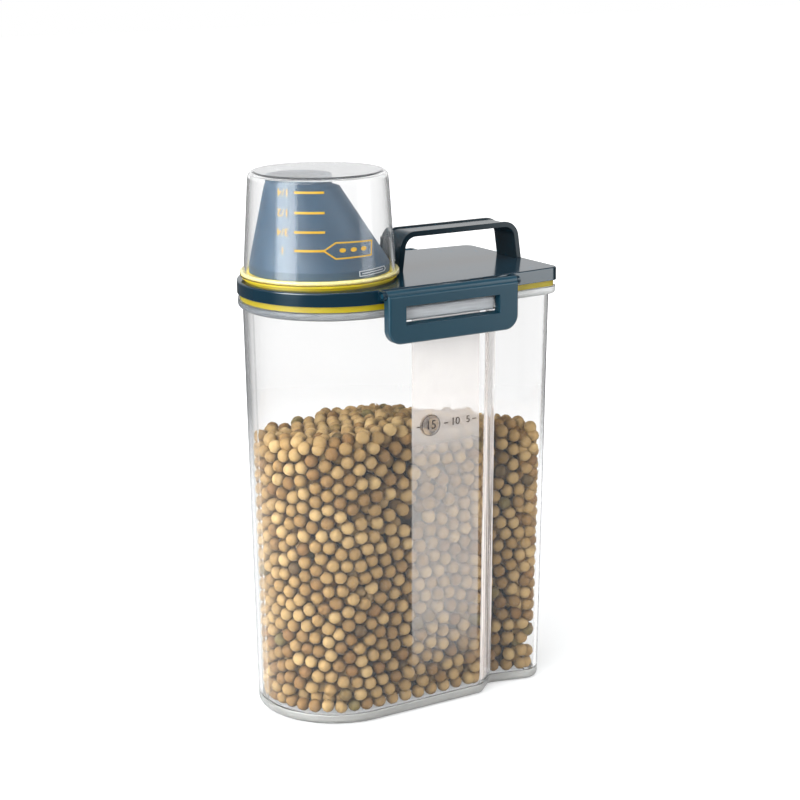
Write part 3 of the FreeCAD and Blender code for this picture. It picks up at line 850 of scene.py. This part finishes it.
def heap_height(x, y):
    """How high the poured food stands at a place in plan, in millimetres."""
    hump = HUMP_RISE * np.exp(-(((x - HUMP_X) / HUMP_WIDTH) ** 2))
    rise = hump + ROUND_END_RISE * np.clip((-x - 40) / 30, 0, 1)
    fall = SQUARE_END_FALL * (np.clip(x - 15, 0, None) / 45) ** 1.2
    return FOOD_LEVEL + rise - fall - BACKWARD_SLOPE * (y + 40)


def relax(points, gap, keep, wrap=None):
    """Points pushed apart until few lie closer than gap, wrapping round in the first direction."""
    for _ in range(RELAX_STEPS):
        apart = points[:, None, :] - points[None, :, :]
        if wrap:
            apart[..., 0] -= wrap * np.round(apart[..., 0] / wrap)
        space = np.sqrt((apart ** 2).sum(axis=2))
        np.fill_diagonal(space, gap)
        push = np.clip(gap - space, 0, None) / np.maximum(space, 1e-3)
        points = keep(points + RELAX_PUSH * (apart * push[..., None]).sum(axis=1))
    return points


def wall_sheet(depth, bottom):
    """Grain centres in a sheet that lies depth inside the wall's inner face."""
    length = PLANS[MIDDLE][2] - 2 * math.pi * (WALL + depth)
    top = float(heap_height(-10, -40))
    count = int(WALL_COVER * length * (top - bottom) / (math.pi * GRAIN_RADIUS ** 2))
    start = chance.random((count, 2)) * (length, top - bottom) + (0, bottom)

    def keep(points):
        points[:, 0] %= length
        points[:, 1] = np.clip(points[:, 1], bottom, top)
        return points

    spots = []
    for along, z in relax(start, 2 * GRAIN_RADIUS, keep, wrap=length):
        low = int(z // LEVEL_STEP)
        mix = z / LEVEL_STEP - low
        sides = []
        for places, normals, _ in PLANS[low:low + 2]:
            index = int(along / length * len(places)) % len(places)
            sides.append(places[index] - normals[index] * (WALL + depth))
        flat = sides[0] * (1 - mix) + sides[1] * mix
        if z < heap_height(*flat) - 0.5 * GRAIN_RADIUS:
            spots.append((flat[0], flat[1], z))
    return np.array(spots)


def foot_row(depth):
    """Grain centres in one close row round the floor, against the wall."""
    places, normals, length = PLANS[0]
    count = int(length / (2.08 * GRAIN_RADIUS))
    picks = (np.arange(count) * len(places) / count).astype(int)
    spots = places[picks] - normals[picks] * (WALL + depth)
    return np.column_stack((spots, FLOOR_TOP + GRAIN_RADIUS * (1 + 0.2 * chance.random(count))))


def inside_plan(points, z, inset):
    """True for each point at least inset inside the outer plan at a height."""
    places, normals, _ = PLANS[int(round(z / LEVEL_STEP))]
    away = points[:, None, :] - places[None, :, :]
    nearest = np.argmin((away ** 2).sum(axis=2), axis=1)
    rows = np.arange(len(points))
    return (away[rows, nearest] * normals[nearest]).sum(axis=1) < -inset


def level_sheet(inset, z, height):
    """Grain centres in a sheet across the body, at a height that depends on the place."""
    places = PLANS[int(round(z / LEVEL_STEP))][0]
    low, high = places.min(axis=0), places.max(axis=0)
    count = int(SHEET_COVER * (high - low).prod() / (math.pi * GRAIN_RADIUS ** 2))
    start = chance.random((count, 2)) * (high - low) + low
    points = relax(start, 2 * GRAIN_RADIUS, lambda p: np.clip(p, low, high))
    points = points[inside_plan(points, z, WALL + inset)]
    return np.column_stack((points, height(points[:, 0], points[:, 1])))


def bumpy_heap(x, y):
    """The heap's top sheet, which is never quite even."""
    return heap_height(x, y) + 1.3 * np.sin(0.41 * x + 1) * np.sin(0.37 * y)


r = GRAIN_RADIUS
gap = r + 2 * FROST_DEPTH
# Sheets lie less than two radii apart, as the grains of one sink between those of the next.
behind = gap + 1.7 * r
SHEETS = {
    "food_outer": [foot_row(gap + 0.4), wall_sheet(gap, FLOOR_TOP + 2.6 * r)],
    "food_inner": [wall_sheet(behind, FLOOR_TOP + 1.8 * r)],
    "food_heap": [
        level_sheet(gap, HEAP_PLAN_Z, bumpy_heap),
        level_sheet(behind, HEAP_PLAN_Z, lambda x, y: heap_height(x, y) - 1.6 * r),
        level_sheet(gap + 2.0 * r, 0, lambda x, y: FLOOR_TOP + r + 0 * x),
    ],
}
for name, sheets in SHEETS.items():
    print(name, sum(len(s) for s in sheets), "grains")

# %% [markdown]
# Each sheet becomes a mesh of bare points, and Geometry Nodes put a grain on every one: a low
# icosphere, turned and scaled at random from a fixed seed. A random tone is stored on each instance
# before Realize Instances, so that the material can make every grain a little different. At the end
# the result is turned into a plain mesh and the modifier is gone.

# %% Grain nodes
GRAIN_LEVEL = 2
GRAIN_SPREAD = 0.09


def grain_tree():
    """A tree that puts a grain on every point, with its sizes as named inputs."""
    inputs = {"Radius": "Float", "Spread": "Float", "Seed": "Int", "Material": "Material"}
    tree, given, out = node_tree("grains_on_points", inputs)

    def chance_of(kind, low, high, shift):
        return output_of(tree, "FunctionNodeRandomValue", how={"data_type": kind},
                         Min=low, Max=high, Seed=combine(tree, "ADD", given["Seed"], shift))

    ball = output_of(tree, "GeometryNodeMeshIcoSphere", Radius=given["Radius"], Subdivisions=GRAIN_LEVEL)
    grain = output_of(tree, "GeometryNodeSetShadeSmooth", Geometry=ball)
    turn = chance_of("FLOAT_VECTOR", (0, 0, 0), (6.28, 6.28, 6.28), 1)
    less = output_of(tree, "ShaderNodeVectorMath", chance_of("FLOAT_VECTOR", (0, 0, 0), (1, 1, 1), 2),
                     how={"operation": "SCALE"}, Scale=given["Spread"])
    size = output_of(tree, "ShaderNodeVectorMath", (1, 1, 1), less, how={"operation": "SUBTRACT"})
    place = on_points(tree, given, Instance=grain, Rotation=turn, Scale=size)
    tone = {"data_type": "FLOAT", "domain": "INSTANCE"}
    toned = output_of(tree, "GeometryNodeStoreNamedAttribute", how=tone,
                      Geometry=place, Name="tone", Value=chance_of("FLOAT", 0.0, 1.0, 3))
    finish_tree(tree, given, out, toned)
    return tree


# %% [markdown]
# A grain's colour runs from a pale straw through tan, with a few reddish, greenish and dark ones, as
# in any sack of pulses. A fine noise mottles the skin, and Ambient Occlusion, kept to the grains
# themselves so that the wall doesn't count, paints shade where one touches the next.

# %% Grain material
MOTTLE_TINT = (0.70, 0.67, 0.62, 1)
PAINTED_SHADE_REACH = 4.0
PAINTED_SHADE_TINT = (0.14, 0.11, 0.09, 1)
GRAIN_TONES = (
    (0.00, srgb(200, 167, 112)),
    (0.30, srgb(185, 151, 97)),
    (0.70, srgb(166, 131, 78)),
    (0.94, srgb(137, 99, 51)),
    (0.97, srgb(144, 104, 56)),
    (0.985, srgb(128, 112, 62)),
    (1.00, srgb(96, 70, 42)),
)


def grain_material():
    """Dry pulses, each with its own tone, with painted shade where one touches the next."""
    material, tree, shader = new_material("dry_pulses")
    tone = add_node(tree, "ShaderNodeAttribute", how={"attribute_name": "tone"})
    ramp = add_node(tree, "ShaderNodeValToRGB", tone.outputs["Fac"])
    stops = ramp.color_ramp.elements
    while len(stops) < len(GRAIN_TONES):
        stops.new(0.5)
    for stop, (place, colour) in zip(stops, GRAIN_TONES):
        stop.position, stop.color = place, colour
    mottle = object_noise(tree, 420, 4.0)
    # Ambient Occlusion paints shade into the colour where grains touch.
    painted_shade_ao = add_node(tree, "ShaderNodeAmbientOcclusion", how={"only_local": True, "samples": 4},
                       Distance=PAINTED_SHADE_REACH * MM)
    colour = ramp.outputs["Color"]
    for factor, darkest in ((mottle, MOTTLE_TINT), (painted_shade_ao.outputs["AO"], PAINTED_SHADE_TINT)):
        shade = blend_colours(tree, factor, darkest, WHITE)
        colour = blend_colours(tree, 1.0, colour, shade, "MULTIPLY")
    wire(shader, Base_Color=colour, Roughness=map_to(tree, mottle, 0.62, 0.78), Specular_IOR_Level=0.2,
         Normal=bump(tree, object_noise(tree, 1100), 0.25, 0.08 * MM))
    return material


GRAINS = grain_tree()
PULSES = grain_material()
for seed, (name, sheets) in enumerate(SHEETS.items()):
    food = grown(name, np.vstack(sheets), GRAINS,
                 Radius=GRAIN_RADIUS * MM, Spread=GRAIN_SPREAD, Seed=seed, Material=PULSES)
    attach(food, "container")

# %% [markdown]
# Light would leak through the few gaps between the sheets and show that the middle is empty. One plain
# dark lump in the middle stands for all the grains that nobody sees.

# %% Food core


def core_shape(inset, low, drop):
    """Three rings of the body's plan, the top one following the heap, closed at both ends."""
    points, count = [], len(PLANS[0][0])
    for level, z in ((0, low), (MIDDLE, MIDDLE * LEVEL_STEP), (7, None)):
        places, normals, _ = PLANS[level]
        picks = (np.arange(count) * len(places) / count).astype(int)
        for x, y in places[picks] - normals[picks] * (WALL + inset):
            points.append((x, y, z if z else heap_height(x, y) - drop))
    ends = [tuple(reversed(range(count))), tuple(range(2 * count, 3 * count))]
    return points, ring_faces(3, count) + ends


core = core_shape(gap + 2.6 * r, FLOOR_TOP + 0.5, 2.4 * r)
SHADOWED = mottled("shadowed_pulses", 260, srgb(30, 21, 16), srgb(58, 42, 31), 0.7, 0.9)[0]
piece_from("food_core", [core], as_drawn, "container", SHADOWED)

# %% [markdown]
# The floor is a plain pale sheet that keeps the object's shadow. Where the camera or the clear plastic
# looks at it, a little light of its own lifts it to white, and further out it is white by itself, so
# no horizon shows. In reflections it ends a short way off, like the edge of a white table, because
# dark plastic only looks dark if part of what it mirrors is dark.

# %% Floor
FLOOR_SIZE = 12.0
FLOOR_DROP = 0.3 * MM
SEEN_WITHIN = 1.035


def mirrored(tree):
    """1 for rays that a glossy surface has thrown back, also where clear plastic follows."""
    return map_to(tree, ray(tree, "Glossy Depth"), 0.0, 1.0)


def within(tree):
    """1 for rays that have been through clear plastic."""
    return map_to(tree, ray(tree, "Transmission Depth"), 0.0, 1.0)


def not_light(tree):
    """1 for every ray that looks, 0 for those that only gather light for a matt surface."""
    bent = combine(tree, "MAXIMUM", ray(tree, "Is Glossy Ray"), ray(tree, "Is Transmission Ray"))
    looks = combine(tree, "MAXIMUM", ray(tree, "Is Camera Ray"), bent)
    return product(tree, looks, map_to(tree, ray(tree, "Diffuse Depth"), 1.0, 0.0))


def choose_value(tree, factor, first, second):
    """The first number or socket where factor is 0, the second where it is 1."""
    return output_of(tree, "ShaderNodeMix", how={"data_type": "FLOAT"}, Factor=factor, A=first, B=second)


def make_floor():
    """A large level sheet, just under the foot ring."""
    half = FLOOR_SIZE / 2
    corners = [(x, y, -FLOOR_DROP) for x, y in ((-half, -half), (half, -half), (half, half), (-half, half))]
    mesh = bpy.data.meshes.new("floor")
    mesh.from_pydata(corners, [], [(0, 1, 2, 3)])
    material, tree, shader = new_material("floor")
    away = output_of(tree, "ShaderNodeVectorMath", object_place(tree), how={"operation": "LENGTH"})
    lift = map_to(tree, away, 0.45, 1.0, 0.2, 0.9, smooth=True)
    wire(shader, Base_Color=(0.8, 0.8, 0.8, 1), Roughness=0.9, Specular_IOR_Level=0.1,
         Emission_Color=WHITE, Emission_Strength=product(tree, lift, not_light(tree)))
    dim = map_to(tree, within(tree), 0.16, 0.5)
    glow = output_of(tree, "ShaderNodeEmission", Color=WHITE,
                     Strength=choose_value(tree, mirrored(tree), SEEN_WITHIN, dim))
    far = map_to(tree, away, 0.0, 1.0, 0.3, 0.7, smooth=True)
    indirect = combine(tree, "MAXIMUM", mirrored(tree), within(tree))
    mix_shaders(tree, product(tree, far, indirect, not_light(tree)), shader.outputs["BSDF"], glow)
    mesh.materials.append(material)
    floor = new_object("floor", mesh)


make_floor()

# %% [markdown]
# A product is lit by large soft lamps. The world is white where it is looked at, an even pale grey
# where it only gives light, and in reflections bright behind the object and dim in front of it. Two
# lamps are only there to be mirrored in the glossy plastic, so they give no light of their own to
# matt surfaces: a broad one at the left and a narrow one at the front right. Both fade out sideways.

# %% Light
WORLD_FILL = 0.42
BACK_GLOSS = 0.90
FRONT_GLOSS = 0.16
INNER_GLOSS = 0.45
LAMP_COLOUR = (0.94, 0.98, 1.0)
LAMPS = {
    # name: place, aim, width, height, power in watts, lights matt surfaces
    "key": ((-1.3, -0.6, 1.05), (0, 0, 0.12), 1.5, 1.5, 23, True),
    "top": ((0.0, 0.2, 1.6), (0, 0, 0.1), 1.0, 1.0, 9, True),
    "left_shine": ((-1.27, -0.2, 0.62), (0, 0, 0.25), 1.1, 1.2, 55, False),
    "right_shine": ((0.76, -0.68, 0.4), (0, 0, 0.22), 0.6, 1.1, 11, False),
}


def make_world():
    """White to look at, WORLD_FILL as light, and bright or dim by direction in reflections."""
    world = bpy.data.worlds.new("studio")
    world.use_nodes = True
    bpy.context.scene.world = world
    tree = world.node_tree
    way = tree.nodes.new("ShaderNodeTexCoord").outputs["Generated"]
    axes = add_node(tree, "ShaderNodeSeparateXYZ", way).outputs
    behind = map_to(tree, axes["Y"], 0.0, BACK_GLOSS - FRONT_GLOSS, -0.1, 0.45, smooth=True)
    low = map_to(tree, axes["Z"], 1.0, 0.25, 0.3, 0.7, smooth=True)
    even = map_to(tree, within(tree), FRONT_GLOSS, INNER_GLOSS)
    gloss = combine(tree, "ADD", product(tree, behind, low), even)
    seen = map_to(tree, not_light(tree), WORLD_FILL, 1.0)
    seen = product(tree, seen, map_to(tree, within(tree), 1.0, SEEN_WITHIN))
    wire(tree.nodes["Background"], Color=WHITE, Strength=choose_value(tree, mirrored(tree), seen, gloss))


def soften_edges(data):
    """Let a lamp's light fade out towards its left and right edges."""
    data.use_nodes = True
    tree = data.node_tree
    place = tree.nodes.new("ShaderNodeNewGeometry").outputs["Parametric"]
    across = add_node(tree, "ShaderNodeSeparateXYZ", place).outputs["X"]
    off = combine(tree, "SUBTRACT", across, 0.5)
    fade = map_to(tree, product(tree, off, off), 1.0, 0.0, 0.0, 0.25, smooth=True)
    wire(tree.nodes["Emission"], Strength=fade)


def make_lamp(name, place, aim, width, height, power, lights_matt):
    """A rectangular area lamp that faces a point and isn't seen by the camera."""
    data = bpy.data.lights.new(name, "AREA")
    data.shape = "RECTANGLE"
    data.size, data.size_y, data.energy = width, height, power
    data.color = LAMP_COLOUR
    lamp = new_object(name, data)
    lamp.location = place
    lamp.rotation_euler = (Vector(aim) - Vector(place)).to_track_quat("-Z", "Y").to_euler()
    lamp.visible_camera = False
    lamp.visible_diffuse = lights_matt
    if not lights_matt:
        soften_edges(data)


make_world()
for name, lamp in LAMPS.items():
    make_lamp(name, *lamp)
